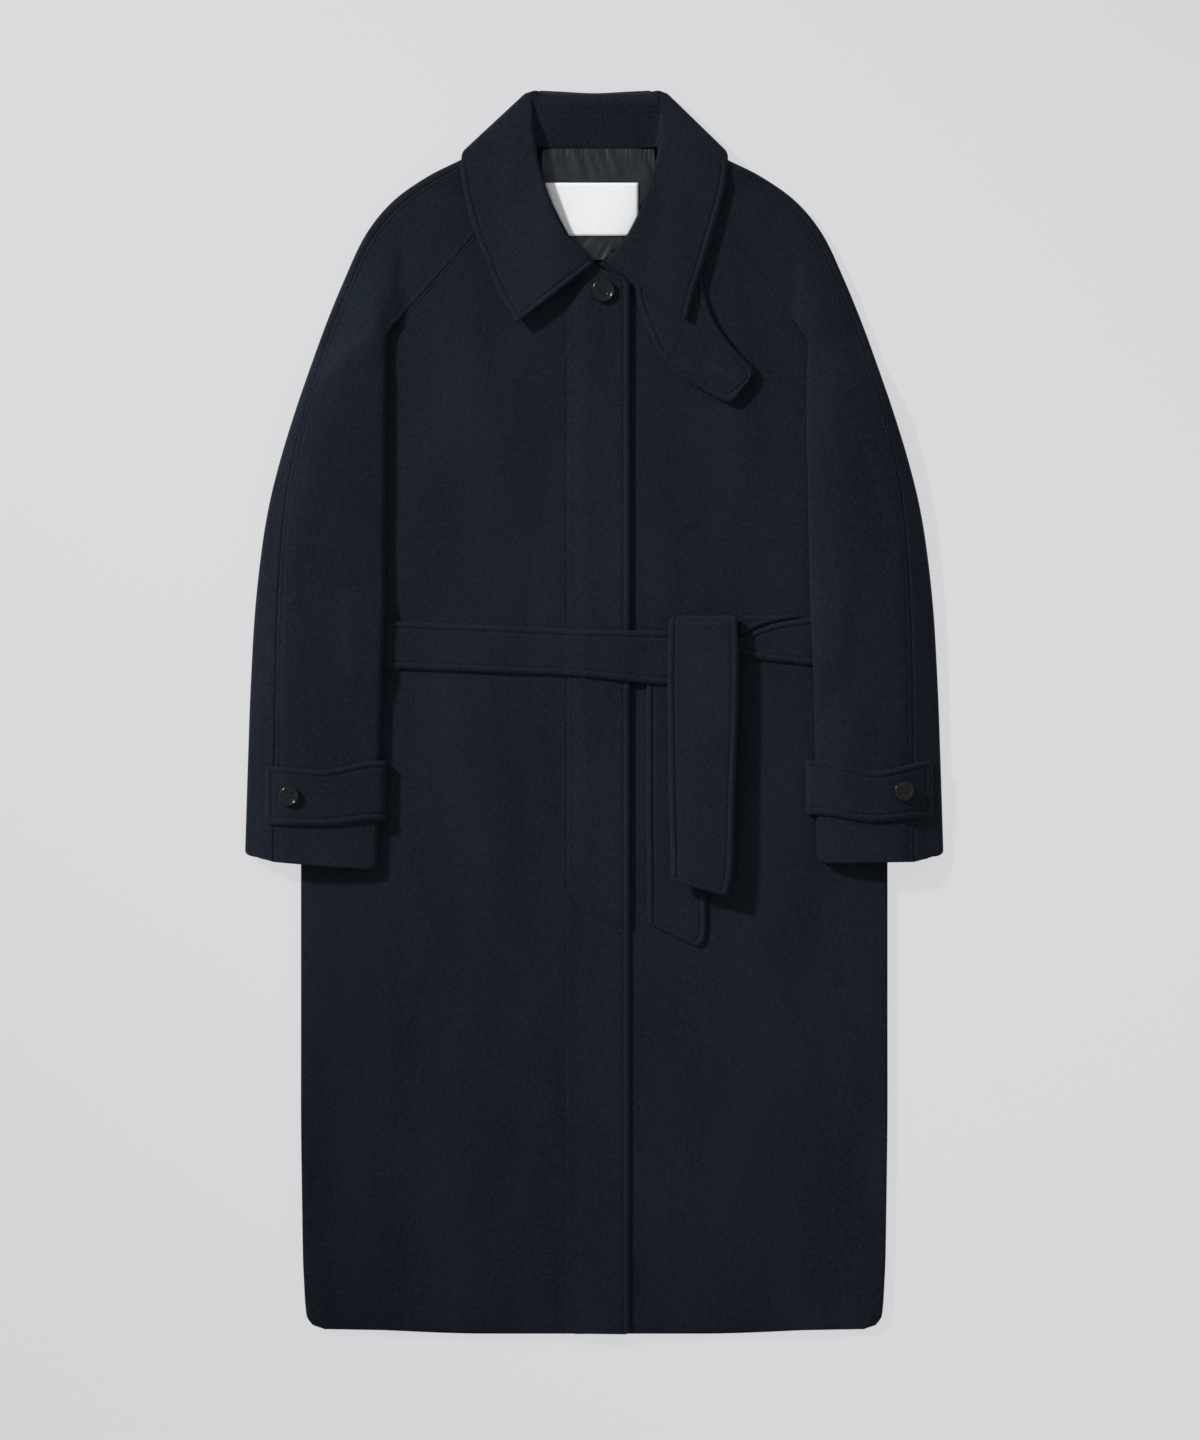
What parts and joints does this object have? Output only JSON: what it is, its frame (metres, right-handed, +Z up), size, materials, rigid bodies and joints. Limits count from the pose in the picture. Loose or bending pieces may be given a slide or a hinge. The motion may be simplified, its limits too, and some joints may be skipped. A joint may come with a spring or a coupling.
{
  "type": "balmacaan coat",
  "caption": "Long belted balmacaan coat in dark wool with raglan sleeves, a turn-down collar, a fly front and cuff tabs, laid flat on its back.",
  "frame": {"origin": "middle of the coat's outline, on the surface that its back lies on", "axes": "+X to the viewer's right, which is the wearer's left; +Y up the coat toward the collar; +Z up from the surface"},
  "size_m": [0.6976, 1.2405, 0.0391],
  "materials": {
    "wool": "milled navy wool with a short soft nap",
    "lining": "smooth dark grey lining with a slight sheen",
    "label": "white woven label, left bare",
    "button": "polished dark horn-like resin"
  },
  "bodies": {
    "root": {"back": "wool", "front_right": "wool", "front_left": "wool", "sleeve_right_front": "wool", "sleeve_right_back": "wool", "sleeve_left_front": "wool", "sleeve_left_back": "wool", "cuff_tab_right": "wool", "cuff_tab_left": "wool", "collar_fall": "wool", "collar_stand": "wool", "throat_tab": "wool", "belt_right": "wool", "belt_left": "wool", "belt_knot": "wool", "belt_end_rear": "wool", "belt_end_front": "wool", "button_neck": "button", "button_cuff_right": "button", "button_cuff_left": "button", "lining_back": "lining", "label": "label"}
  },
  "joints": []
}
